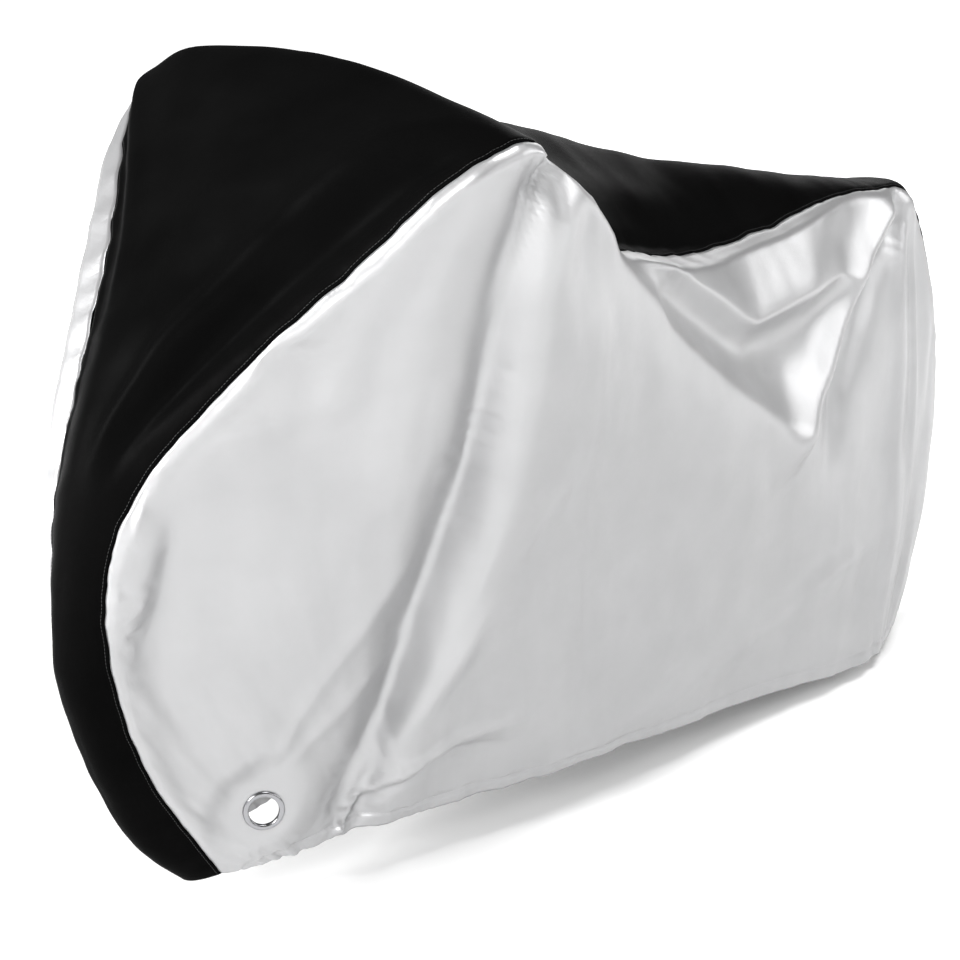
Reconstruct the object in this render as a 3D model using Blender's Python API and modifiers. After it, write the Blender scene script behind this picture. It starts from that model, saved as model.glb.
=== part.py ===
"""A fitted bicycle cover, hanging as it does over a parked bicycle.

The cover is three sewn panels: a black centre panel that runs from the front hem over the
handlebar and the saddle down to the rear hem, and a silver side panel on each side of it. A
metal eyelet for a lock sits low at the front of each side panel, in its own piece of that panel.

Every panel is a grid whose points lie on one surface. CENTRE and SIDE give the sections of that
surface from the front hem to the rear one: the ridge on the centre line, the seam at either side
of the centre panel, and the hem that the side panel reaches there. FOLDS and CREASES raise and
sink it. Heights are above the floor, and an empty then moves the finished parts so that the
origin is the mount under the cover's top.
"""

import math
from collections import namedtuple

import bmesh
import bpy
from mathutils import Vector

MM = 0.001

# Driving sizes, in metres.
CLOTH = 2.0 * MM
SEAM_RADIUS = 12.0 * MM
PUFF_REACH = 36.0 * MM
# The way a panel faces is read over this much of it to either side: of a side panel in sections,
# and of the centre panel in sections and in shares of its width.
OUTWARD_ROWS, OUTWARD_STEP = 0.5, 0.02
# The share of the centre panel's half width, at the seam, that its creases die out over.
CREASE_HOLD = 0.15
# The shares of a crease's length over which it fades at its two ends.
CREASE_START, CREASE_END = 0.3, 0.5
SEAM_INSET = 0.45 * MM
BAR_TURN = 0.12
MOUNT_X, MOUNT_Z = -0.500, 1.073

EYELET_HOLE = 19.0 * MM
EYELET_WALL = 1.4 * MM
EYELET_RIM = 26.5 * MM
RIM_HEIGHT = 1.8 * MM
EYELET_CLEARANCE = 0.35 * MM
EYELET_STEPS = 24
# How deep the hole's cutter is, and how near points the turned eyelet joins.
CUTTER_DEPTH, MERGE = 20.0 * MM, 0.01 * MM
EYELET_ROW, EYELET_DROP = 3.25, 0.74
EYELET_FACING = (-0.50, 0.86, 0.02)
FLAT_RADIUS, FLAT_FADE = 64.0 * MM, 55.0 * MM

# The columns of the panels' grids. The rounding at a seam takes SEAM_COLUMNS of them in each
# panel, over SEAM_SHARE of that panel's columns.
SIDE_COLUMNS, CENTRE_COLUMNS, SEAM_COLUMNS = 18, 4, 2
SEAM_SHARE = 0.05

# The piece of a side panel that holds its eyelet: from which section to which, and from which
# column on.
PIECE_FIRST, PIECE_LAST, PIECE_COLUMN = 1, 5, 10

Centre = namedtuple(
    "Centre", "steps ridge_x ridge_z seam_x seam_z near far near_arch far_arch turn"
)
# The centre panel's sections. steps is the number of the grid's rows from one to the next. near
# and far are the panel's half widths, and near_arch and far_arch are how squarely it bends down
# to its seams. turn is how far the seams follow the turned handlebar.
CENTRE = [
    # the front hem, and round the front wheel
    Centre(2, -0.752, 0.072, -0.716, 0.080, 0.036, 0.034, 2.2, 2.2, 0.0),
    Centre(2, -0.815, 0.137, -0.766, 0.157, 0.049, 0.041, 2.3, 2.3, 0.0),
    Centre(2, -0.870, 0.245, -0.826, 0.262, 0.056, 0.043, 2.4, 2.4, 0.0),
    Centre(2, -0.900, 0.370, -0.863, 0.378, 0.060, 0.043, 2.4, 2.4, 0.0),
    Centre(2, -0.898, 0.485, -0.875, 0.482, 0.062, 0.043, 2.3, 2.3, 0.0),
    Centre(2, -0.880, 0.580, -0.865, 0.568, 0.073, 0.050, 2.2, 2.2, 0.0),
    # the front face, widening up to the handlebar
    Centre(2, -0.846, 0.670, -0.832, 0.645, 0.098, 0.067, 2.0, 2.0, 0.1),
    Centre(2, -0.798, 0.755, -0.785, 0.725, 0.150, 0.097, 2.0, 2.0, 0.2),
    Centre(2, -0.735, 0.845, -0.722, 0.810, 0.213, 0.146, 2.0, 2.0, 0.4),
    Centre(3, -0.668, 0.930, -0.652, 0.893, 0.283, 0.222, 2.0, 2.0, 0.6),
    Centre(3, -0.612, 1.003, -0.590, 0.966, 0.346, 0.317, 1.9, 2.4, 0.9),
    # over the handlebar's grips
    Centre(3, -0.568, 1.050, -0.536, 1.006, 0.384, 0.380, 1.7, 3.0, 1.0),
    Centre(3, -0.515, 1.077, -0.475, 1.014, 0.388, 0.386, 1.45, 3.6, 1.0),
    Centre(4, -0.430, 1.043, -0.420, 0.962, 0.355, 0.362, 1.35, 2.4, 0.9),
    # the sag between the handlebar and the saddle
    Centre(4, -0.330, 1.008, -0.325, 0.880, 0.283, 0.290, 1.35, 1.7, 0.6),
    Centre(5, -0.170, 0.963, -0.175, 0.826, 0.208, 0.214, 1.4, 1.4, 0.2),
    Centre(5, 0.020, 0.914, 0.020, 0.788, 0.146, 0.150, 1.4, 1.4, 0.0),
    Centre(4, 0.220, 0.873, 0.220, 0.788, 0.108, 0.112, 1.5, 1.5, 0.0),
    Centre(4, 0.430, 0.838, 0.430, 0.806, 0.078, 0.080, 1.6, 1.6, 0.0),
    Centre(3, 0.600, 0.809, 0.600, 0.800, 0.056, 0.056, 1.8, 1.8, 0.0),
    # over the saddle and down behind the rear wheel
    Centre(2, 0.700, 0.797, 0.688, 0.785, 0.045, 0.045, 2.0, 2.0, 0.0),
    Centre(2, 0.764, 0.735, 0.742, 0.715, 0.045, 0.045, 2.1, 2.1, 0.0),
    Centre(2, 0.810, 0.610, 0.783, 0.600, 0.050, 0.050, 2.2, 2.2, 0.0),
    Centre(2, 0.831, 0.460, 0.801, 0.455, 0.055, 0.055, 2.2, 2.2, 0.0),
    Centre(2, 0.826, 0.320, 0.796, 0.318, 0.058, 0.058, 2.2, 2.2, 0.0),
    Centre(2, 0.800, 0.170, 0.771, 0.175, 0.056, 0.056, 2.2, 2.2, 0.0),
    Centre(0, 0.766, 0.040, 0.741, 0.048, 0.050, 0.050, 2.2, 2.2, 0.0),
]

Side = namedtuple("Side", "hem_x hem_z near_hem far_hem belly near_puff far_puff")
# The side panels' sections, one for each of the centre panel's, whose seam they hang from.
# near_hem and far_hem are the hem's distances from the centre line. belly is how far the panels
# bow out half way down, and near_puff and far_puff how far they puff out beside the seam.
SIDE = [
    # the front hem, and round the front wheel
    Side(-0.670, 0.076, 0.046, 0.046, 0.000, 0.000, 0.000),
    Side(-0.655, 0.078, 0.050, 0.050, 0.004, 0.004, 0.006),
    Side(-0.634, 0.079, 0.055, 0.055, 0.008, 0.006, 0.014),
    Side(-0.608, 0.081, 0.061, 0.062, 0.011, 0.008, 0.036),
    Side(-0.578, 0.083, 0.069, 0.071, 0.014, 0.010, 0.046),
    Side(-0.545, 0.086, 0.078, 0.081, 0.016, 0.010, 0.054),
    # the front face, widening up to the handlebar
    Side(-0.512, 0.091, 0.087, 0.091, 0.014, 0.012, 0.066),
    Side(-0.478, 0.094, 0.096, 0.101, 0.008, 0.013, 0.077),
    Side(-0.440, 0.094, 0.105, 0.108, 0.002, 0.013, 0.092),
    Side(-0.400, 0.093, 0.113, 0.115, 0.000, 0.012, 0.088),
    Side(-0.360, 0.091, 0.120, 0.121, 0.000, 0.008, 0.060),
    # over the handlebar's grips
    Side(-0.322, 0.090, 0.125, 0.126, 0.002, 0.002, 0.020),
    Side(-0.284, 0.090, 0.129, 0.130, 0.004, 0.000, 0.000),
    Side(-0.235, 0.089, 0.134, 0.135, 0.008, 0.000, 0.004),
    # the sag between the handlebar and the saddle
    Side(-0.165, 0.088, 0.140, 0.141, 0.016, 0.004, 0.008),
    Side(-0.055, 0.084, 0.149, 0.148, 0.028, 0.006, 0.008),
    Side(0.080, 0.074, 0.152, 0.151, 0.038, 0.006, 0.008),
    Side(0.220, 0.060, 0.152, 0.150, 0.036, 0.006, 0.008),
    Side(0.350, 0.045, 0.151, 0.147, 0.025, 0.006, 0.006),
    Side(0.450, 0.034, 0.151, 0.142, 0.012, 0.004, 0.004),
    # over the saddle and down behind the rear wheel
    Side(0.510, 0.030, 0.148, 0.136, 0.005, 0.002, 0.002),
    Side(0.550, 0.030, 0.139, 0.129, 0.004, 0.004, 0.004),
    Side(0.585, 0.030, 0.129, 0.121, 0.006, 0.008, 0.008),
    Side(0.616, 0.031, 0.118, 0.112, 0.010, 0.008, 0.010),
    Side(0.646, 0.032, 0.105, 0.101, 0.010, 0.006, 0.008),
    Side(0.676, 0.033, 0.090, 0.088, 0.006, 0.004, 0.004),
    Side(0.706, 0.036, 0.070, 0.070, 0.000, 0.000, 0.000),
]
Section = namedtuple("Section", Centre._fields + Side._fields)
SECTIONS = [Section(*centre, *side) for centre, side in zip(CENTRE, SIDE)]
LAST_ROW = len(SECTIONS) - 1
NEAR, FAR = -1, 1

Fold = namedtuple("Fold", "side x0 z0 x1 z1 front back height start end")
# A fold in a side panel, along the line from (x0, z0) down to (x1, z1) seen from the side. It
# stands out by height, or is sunk where that is negative. It fades over front towards the
# front wheel and over back away from it. start and end are the shares of its length over which it
# fades at its two ends.
FOLDS = [
    # hanging from the near grip
    Fold(NEAR, -0.548, 0.985, -0.580, 0.095, 0.030, 0.026, -0.030, 0.04, 0.12),
    Fold(NEAR, -0.502, 0.985, -0.534, 0.095, 0.030, 0.080, 0.028, 0.05, 0.14),
    Fold(NEAR, -0.480, 0.960, 0.250, 0.475, 0.300, 0.060, 0.064, 0.20, 0.70),
    Fold(NEAR, -0.600, 0.880, -0.760, 0.560, 0.040, 0.040, 0.012, 0.15, 0.30),
    Fold(NEAR, -0.665, 0.760, -0.620, 0.560, 0.055, 0.050, -0.014, 0.30, 0.40),
    # between the long fold from the near grip and the saddle
    Fold(NEAR, -0.050, 0.790, 0.300, 0.600, 0.050, 0.070, -0.022, 0.40, 0.50),
    Fold(NEAR, 0.020, 0.720, 0.170, 0.660, 0.050, 0.050, 0.018, 0.30, 0.30),
    Fold(NEAR, 0.660, 0.740, 0.260, 0.420, 0.080, 0.065, 0.026, 0.15, 0.35),
    Fold(NEAR, 0.600, 0.600, 0.420, 0.330, 0.065, 0.065, -0.018, 0.30, 0.40),
    Fold(NEAR, 0.690, 0.740, 0.620, 0.150, 0.040, 0.045, 0.016, 0.08, 0.50),
    # low down on the near side
    Fold(NEAR, -0.825, 0.560, -0.790, 0.250, 0.036, 0.036, 0.010, 0.30, 0.40),
    Fold(NEAR, -0.775, 0.570, -0.730, 0.270, 0.036, 0.036, -0.012, 0.30, 0.40),
    Fold(NEAR, -0.200, 0.330, -0.520, 0.110, 0.045, 0.045, 0.013, 0.50, 0.10),
    Fold(NEAR, 0.500, 0.260, -0.150, 0.090, 0.050, 0.045, 0.016, 0.50, 0.25),
    # the far side, which hangs much like the near one
    Fold(FAR, -0.470, 0.985, -0.540, 0.095, 0.034, 0.034, -0.022, 0.04, 0.12),
    Fold(FAR, -0.420, 0.985, -0.480, 0.095, 0.036, 0.080, 0.022, 0.05, 0.14),
    Fold(FAR, -0.400, 0.960, 0.200, 0.430, 0.280, 0.065, 0.058, 0.20, 0.70),
    Fold(FAR, -0.560, 0.880, -0.740, 0.540, 0.050, 0.050, -0.016, 0.20, 0.30),
    Fold(FAR, 0.000, 0.770, 0.260, 0.600, 0.060, 0.070, -0.018, 0.40, 0.50),
    Fold(FAR, 0.670, 0.740, 0.300, 0.380, 0.065, 0.055, 0.026, 0.15, 0.35),
    Fold(FAR, 0.560, 0.600, 0.420, 0.300, 0.055, 0.055, -0.018, 0.30, 0.40),
    Fold(FAR, 0.690, 0.740, 0.640, 0.150, 0.040, 0.045, 0.014, 0.08, 0.50),
    Fold(FAR, 0.350, 0.300, -0.300, 0.100, 0.055, 0.050, 0.015, 0.50, 0.25),
]

Crease = namedtuple("Crease", "row0 across0 row1 across1 width height")
# A crease in the centre panel. Rows count the sections, and across runs from -1 at the near seam
# through 0 on the ridge to 1 at the far seam.
CREASES = [
    Crease(11.0, -0.90, 6.5, -0.66, 0.13, -0.011),
    Crease(11.0, -0.74, 6.5, -0.36, 0.14, 0.010),
    Crease(11.3, 0.92, 8.0, 0.70, 0.12, 0.009),
    Crease(10.8, 0.30, 7.5, 0.20, 0.22, -0.008),
    Crease(13.0, -0.66, 16.0, -0.62, 0.25, 0.010),
    Crease(14.0, 0.55, 17.0, 0.60, 0.25, 0.010),
]

SILVER = ("silver coated polyester", (0.60, 0.60, 0.61), 0.38, 0.35)
BLACK = ("black polyester", (0.012, 0.012, 0.013), 0.62, 0.0)
STEEL = ("nickel plated steel", (0.72, 0.72, 0.74), 0.22, 1.0)


def smooth(t):
    """0 before 0, 1 after 1, and an S curve between."""
    t = min(1.0, max(0.0, t))
    return t * t * (3 - 2 * t)


def section(row):
    """The section at a row, on a Catmull-Rom curve through the table."""
    low = min(int(row), LAST_ROW - 1)
    t = row - low
    before, here = SECTIONS[max(low - 1, 0)], SECTIONS[low]
    after, last = SECTIONS[low + 1], SECTIONS[min(low + 2, LAST_ROW)]
    values = []
    for a, b, c, d in zip(before, here, after, last):
        bend = (2 * a - 5 * b + 4 * c - d) * t + (3 * b - a - 3 * c + d) * t * t
        values.append(b + 0.5 * t * (c - a + bend))
    return Section(*values)


def corner(cut, side):
    """Where the centre panel and a side panel would meet if the seam were sharp."""
    y = side * (cut.near if side == NEAR else cut.far)
    return Vector((cut.seam_x + cut.turn * BAR_TURN * y, y, cut.seam_z))


def centre_section(cut, side, share):
    """The centre panel's section: share 0 is on the ridge, and 1 at the sharp seam."""
    ridge = Vector((cut.ridge_x, 0, cut.ridge_z))
    arch = cut.near_arch if side == NEAR else cut.far_arch
    point = ridge.lerp(corner(cut, side), share**arch)
    point.y = corner(cut, side).y * share
    return point


def fold_height(side, x, z):
    """How far the folds make a side panel stand out at a place seen from the side."""
    height = 0.0
    for fold in FOLDS:
        if fold.side != side:
            continue
        dx, dz = fold.x1 - fold.x0, fold.z1 - fold.z0
        length = math.hypot(dx, dz)
        along = ((x - fold.x0) * dx + (z - fold.z0) * dz) / length**2
        off = ((z - fold.z0) * dx - (x - fold.x0) * dz) / length
        spread = fold.back if off > 0 else fold.front
        fade = smooth(along / fold.start + 0.5) * smooth((1 - along) / fold.end + 0.5)
        height += fold.height * fade * math.exp(-((off / spread) ** 2))
    return height


def side_line(row, side, drop):
    """The straight line of a side panel's section: drop 0 is at the sharp seam, 1 at the hem."""
    cut = section(row)
    hem = Vector((cut.hem_x, side * (cut.near_hem if side == NEAR else cut.far_hem), cut.hem_z))
    return corner(cut, side).lerp(hem, drop)


def side_section(row, side, drop):
    """A side panel's section, which bows, puffs and folds out of its straight line."""
    cut = section(row)
    point = side_line(row, side, drop)
    down = side_line(row, side, 1) - side_line(row, side, 0)
    ahead, behind = max(row - OUTWARD_ROWS, 0), min(row + OUTWARD_ROWS, LAST_ROW)
    along = side_line(behind, side, drop) - side_line(ahead, side, drop)
    outward = side * along.cross(down).normalized()
    away = drop * down.length / PUFF_REACH
    bow = cut.belly * 4 * drop * (1 - drop)
    puff = (cut.near_puff if side == NEAR else cut.far_puff) * (away * math.exp(1 - away)) ** 2
    return point + outward * (bow + puff + smooth(away) * fold_height(side, point.x, point.z))


def seam_share(cut, side):
    """The share of the centre panel's section that the rounding at its seam takes."""
    sharp = corner(cut, side)
    arch = cut.near_arch if side == NEAR else cut.far_arch
    bend = arch * math.hypot(sharp.x - cut.ridge_x, sharp.z - cut.ridge_z)
    return SEAM_RADIUS / math.hypot(sharp.y, bend)


def seam_drop(row, side):
    """The share of the side panel's section that the rounding at its seam takes."""
    return SEAM_RADIUS / (side_line(row, side, 1) - side_line(row, side, 0)).length


def rounded(row, side, t):
    """The rounding at a seam: t 0 lies in the centre panel, 1 in the side panel."""
    cut = section(row)
    inner = centre_section(cut, side, 1 - seam_share(cut, side))
    outer = side_section(row, side, seam_drop(row, side))
    return inner * (1 - t) ** 2 + corner(cut, side) * 2 * t * (1 - t) + outer * t**2


def centre_plain(row, across):
    """The centre panel's surface without its creases, from -1 at the near seam to 1 at the far."""
    cut = section(row)
    side = NEAR if across < 0 else FAR
    share = abs(across)
    middle = 1 - SEAM_SHARE
    if share > middle:
        return rounded(row, side, 0.5 * (share - middle) / SEAM_SHARE)
    return centre_section(cut, side, share / middle * (1 - seam_share(cut, side)))


def crease_height(row, across):
    """How far the creases make the centre panel stand out."""
    height = 0.0
    for crease in CREASES:
        along = (row - crease.row0) / (crease.row1 - crease.row0)
        line = crease.across0 + (crease.across1 - crease.across0) * along
        fade = smooth(along / CREASE_START + 0.5) * smooth((1 - along) / CREASE_END + 0.5)
        height += crease.height * fade * math.exp(-(((across - line) / crease.width) ** 2))
    return height


def centre_surface(row, across):
    """The middle of the centre panel's cloth."""
    ahead, behind = max(row - OUTWARD_STEP, 0), min(row + OUTWARD_STEP, LAST_ROW)
    near, far = max(across - OUTWARD_STEP, -1), min(across + OUTWARD_STEP, 1)
    along = centre_plain(behind, across) - centre_plain(ahead, across)
    over = centre_plain(row, far) - centre_plain(row, near)
    outward = over.cross(along).normalized()
    hold = smooth((1 - abs(across)) / CREASE_HOLD)
    return centre_plain(row, across) + outward * crease_height(row, across) * hold


def side_plain(row, side, down):
    """A side panel's surface before its eyelet flattens it, from 0 at the seam to 1 at the hem."""
    if down < SEAM_SHARE:
        return rounded(row, side, 0.5 + 0.5 * down / SEAM_SHARE)
    start = seam_drop(row, side)
    return side_section(row, side, start + (1 - start) * (down - SEAM_SHARE) / (1 - SEAM_SHARE))


def eyelet_place(side):
    """An eyelet's centre and the way it faces."""
    x, y, z = EYELET_FACING
    return side_plain(EYELET_ROW, side, EYELET_DROP), Vector((x, side * y, z)).normalized()


def side_surface(row, side, down):
    """The middle of a side panel's cloth, flat round its eyelet."""
    point = side_plain(row, side, down)
    centre, facing = eyelet_place(side)
    off = point - centre
    flat = 1 - smooth((off.length - FLAT_RADIUS) / FLAT_FADE)
    return point - facing * off.dot(facing) * flat


def new_material(name, colour, roughness, metallic):
    material = bpy.data.materials.new(name)
    material.use_nodes = True
    shader = material.node_tree.nodes["Principled BSDF"]
    shader.inputs["Base Color"].default_value = (*colour, 1)
    shader.inputs["Roughness"].default_value = roughness
    shader.inputs["Metallic"].default_value = metallic
    material.diffuse_color = (*colour, 1)
    return material


def spaced(low, high, count):
    """The values that split a range into count parts, without the last one."""
    return [low + (high - low) * i / count for i in range(count)]


def grid_rows():
    """The grid's rows, each as its place in SECTIONS."""
    rows = []
    for number, cut in enumerate(SECTIONS[:-1]):
        rows += spaced(number, number + 1, cut.steps)
    return rows + [LAST_ROW]


def half_columns(count):
    """Columns from a seam, at 0, to the far end of a panel or its ridge, at 1."""
    return spaced(0, SEAM_SHARE, SEAM_COLUMNS) + spaced(SEAM_SHARE, 1, count) + [1]


def draw_in_edges(shape):
    """Draws a sheet's edges in, so that it stays clear of the panels next to it."""
    moves = []
    for vertex in shape.verts:
        if not vertex.is_boundary:
            continue
        inner = [e.other_vert(vertex) for e in vertex.link_edges if not e.is_boundary]
        beside = inner or [e.other_vert(vertex) for e in vertex.link_edges]
        inward = Vector()
        for other in beside:
            inward += (other.co - vertex.co).normalized()
        moves.append((vertex, inward.normalized() * SEAM_INSET * math.sqrt(len(beside))))
    for vertex, move in moves:
        vertex.co += move


def cloth(name, rows, columns, surface, material, home, keep=None):
    """A sheet of cloth on a surface: a grid of rows and columns, of which keep may drop cells."""
    mesh = bpy.data.meshes.new(name)
    shape = bmesh.new()
    across, down = len(rows) - 1, len(columns) - 1
    bmesh.ops.create_grid(shape, x_segments=across, y_segments=down, size=0.5)

    def cell(point):
        return (point.x + 0.5) * across, (point.y + 0.5) * down

    if keep:
        dropped = [f for f in shape.faces if not keep(*cell(f.calc_center_median()))]
        bmesh.ops.delete(shape, geom=dropped, context="FACES")
    for vertex in shape.verts:
        row, column = cell(vertex.co)
        vertex.co = surface(rows[round(row)], columns[round(column)])
    draw_in_edges(shape)
    bmesh.ops.recalc_face_normals(shape, faces=shape.faces)
    shape.to_mesh(mesh)
    shape.free()
    mesh.materials.append(material)
    mesh.shade_smooth()
    made = bpy.data.objects.new(name, mesh)
    home.objects.link(made)
    solid = made.modifiers.new("Cloth", "SOLIDIFY")
    solid.thickness = CLOTH
    solid.offset = 0
    return made


def eyelet(name, side, material, home):
    """A metal eyelet: a barrel through the cloth with a rim on each side of it."""
    seat = CLOTH / 2 + EYELET_CLEARANCE
    top = seat + RIM_HEIGHT
    edge = RIM_HEIGHT / 2
    front = [
        (EYELET_HOLE, top - edge),
        (EYELET_HOLE + edge, top),
        (EYELET_RIM - edge, top),
        (EYELET_RIM, top - edge),
        (EYELET_RIM, seat),
        (EYELET_HOLE + EYELET_WALL, seat),
    ]
    profile = front + [(radius, -height) for radius, height in reversed(front)]
    count = len(profile)
    mesh = bpy.data.meshes.new(name)
    points = [(radius, 0, height) for radius, height in profile]
    mesh.from_pydata(points, [(i, (i + 1) % count) for i in range(count)], [])
    mesh.materials.append(material)
    made = bpy.data.objects.new(name, mesh)
    home.objects.link(made)
    turn = made.modifiers.new("Turned", "SCREW")
    turn.steps = turn.render_steps = EYELET_STEPS
    turn.use_merge_vertices = True
    turn.merge_threshold = MERGE
    centre, facing = eyelet_place(side)
    made.location = centre
    made.rotation_mode = "QUATERNION"
    made.rotation_quaternion = facing.to_track_quat("Z", "Y")
    return made


def eyelet_hole(made, fitted, cutters):
    """Cuts the hole for an eyelet through the piece that holds it."""
    bpy.ops.mesh.primitive_cylinder_add(
        vertices=EYELET_STEPS,
        radius=EYELET_HOLE + EYELET_WALL + EYELET_CLEARANCE,
        depth=CUTTER_DEPTH,
    )
    cutter = bpy.context.object
    cutter.name = f"{fitted.name}_hole_cutter"
    cutter.location = fitted.location
    cutter.rotation_mode = "QUATERNION"
    cutter.rotation_quaternion = fitted.rotation_quaternion
    cutter.hide_render = True
    cutter.display_type = "WIRE"
    for collection in cutter.users_collection:
        collection.objects.unlink(cutter)
    cutters.objects.link(cutter)
    cut = made.modifiers.new("Eyelet hole", "BOOLEAN")
    cut.operation = "DIFFERENCE"
    cut.object = cutter
    return cutter


def main():
    for old in list(bpy.data.objects):
        bpy.data.objects.remove(old)
    home = bpy.data.collections.new("Bicycle cover")
    cutters = bpy.data.collections.new("Cutters")
    bpy.context.scene.collection.children.link(home)
    bpy.context.scene.collection.children.link(cutters)
    silver, black, steel = (new_material(*look) for look in (SILVER, BLACK, STEEL))

    mount = bpy.data.objects.new("cover_mount", None)
    mount.location = (-MOUNT_X, 0, -MOUNT_Z)
    home.objects.link(mount)

    rows = grid_rows()
    half = [column - 1 for column in half_columns(CENTRE_COLUMNS)]
    centre_columns = half + [-column for column in reversed(half[:-1])]
    parts = [cloth("centre_panel", rows, centre_columns, centre_surface, black, home)]

    first = rows.index(PIECE_FIRST)
    last = rows.index(PIECE_LAST)

    def in_piece(row, column):
        return first < row < last and column > PIECE_COLUMN

    def out_of_piece(row, column):
        return not in_piece(row, column)

    down = half_columns(SIDE_COLUMNS)
    for side, hand in ((NEAR, "left"), (FAR, "right")):

        def surface(row, column):
            return side_surface(row, side, column)

        parts.append(cloth(f"side_panel_{hand}", rows, down, surface, silver, home, out_of_piece))
        piece = cloth(f"eyelet_strip_{hand}", rows, down, surface, silver, home, in_piece)
        ring = eyelet(f"eyelet_{hand}", side, steel, home)
        parts += [piece, ring, eyelet_hole(piece, ring, cutters)]

    for part in parts:
        part.parent = mount


main()
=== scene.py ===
"""The looks of a fitted bicycle cover, as it hangs over a parked bicycle that isn't there.

The cover is three sewn panels of coated polyester: a black centre panel from the front hem over
the handlebar and the saddle to the rear hem, and a silver side panel on each side of it. Each
panel is a grid of points on the surface that the model's solids have, made finer: CENTRE and SIDE
are the model's own sections, FOLDS and CREASES its main folds with the smaller ones of the
photograph, and noise ripples the cloth, most of all along its seams and hems. Where the
photograph asks for it, a few forms depart from the solids: the puff beside the front seam is
narrower, and the long fold under the near grip is sharper.

Places are in metres, with x towards the rear, y towards the far side and z above the floor.
Every point is moved by MOUNT at the end, so that the origin is just under the cover's top.
"""

import math
from collections import namedtuple

import bpy
import numpy as np
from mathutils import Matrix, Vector


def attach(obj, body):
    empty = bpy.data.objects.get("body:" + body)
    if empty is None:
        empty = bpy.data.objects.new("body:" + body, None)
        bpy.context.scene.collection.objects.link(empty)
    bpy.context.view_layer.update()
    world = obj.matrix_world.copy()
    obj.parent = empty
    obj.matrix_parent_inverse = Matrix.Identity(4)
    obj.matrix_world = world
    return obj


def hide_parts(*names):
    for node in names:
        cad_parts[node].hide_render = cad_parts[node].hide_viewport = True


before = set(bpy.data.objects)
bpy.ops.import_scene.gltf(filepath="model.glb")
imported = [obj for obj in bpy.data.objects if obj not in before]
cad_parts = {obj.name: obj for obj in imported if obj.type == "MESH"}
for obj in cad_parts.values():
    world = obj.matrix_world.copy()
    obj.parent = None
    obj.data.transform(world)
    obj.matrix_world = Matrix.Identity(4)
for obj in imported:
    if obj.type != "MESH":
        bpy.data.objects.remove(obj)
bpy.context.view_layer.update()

MM = 0.001
# The two sides, as the signs of their y.
NEAR, FAR = -1, 1
MOUNT = np.array([0.500, 0.0, -1.073])

# How tightly the cloth bends at the seams, and the share of a panel's grid that the bend takes.
SEAM_RADIUS, SEAM_SHARE = 12.0 * MM, 0.05
# How far round its bend the seam wanders, how often in a section, and its noise's line and seed.
SEAM_WANDER, WANDER_ROWS, WANDER_LINE, WANDER_SEED = 0.07, 3.7, 10.0, 8
# How fast a side panel's puff rises beside its seam and dies away, and its share of the solid's.
PUFF_RISE, PUFF_REACH, PUFF_SHARE = 11.0 * MM, 60.0 * MM, 0.85
# How far from its seam a side panel's folds reach their full height.
FOLD_START = 14.0 * MM
# A side panel's outward direction is taken between this many sections ahead and behind.
OUTWARD_ROWS = 0.5
# How far the turned handlebar carries the seams back, for each metre towards the far side.
BAR_TURN = 0.12
# The eyelets' centres, the way the far one faces, and where the cloth round them lies flat: within
# the first distance, and less and less over the second.
EYELETS = {NEAR: (-0.673318, -0.071318, 0.166498), FAR: (-0.673718, 0.067444, 0.166696)}
EYELET_FACING = (-0.50, 0.86, 0.02)
FLAT_RADIUS, FLAT_FADE = 32.0 * MM, 62.0 * MM

Centre = namedtuple("Centre", "ridge_x ridge_z seam_x seam_z near far near_arch far_arch turn")
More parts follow.
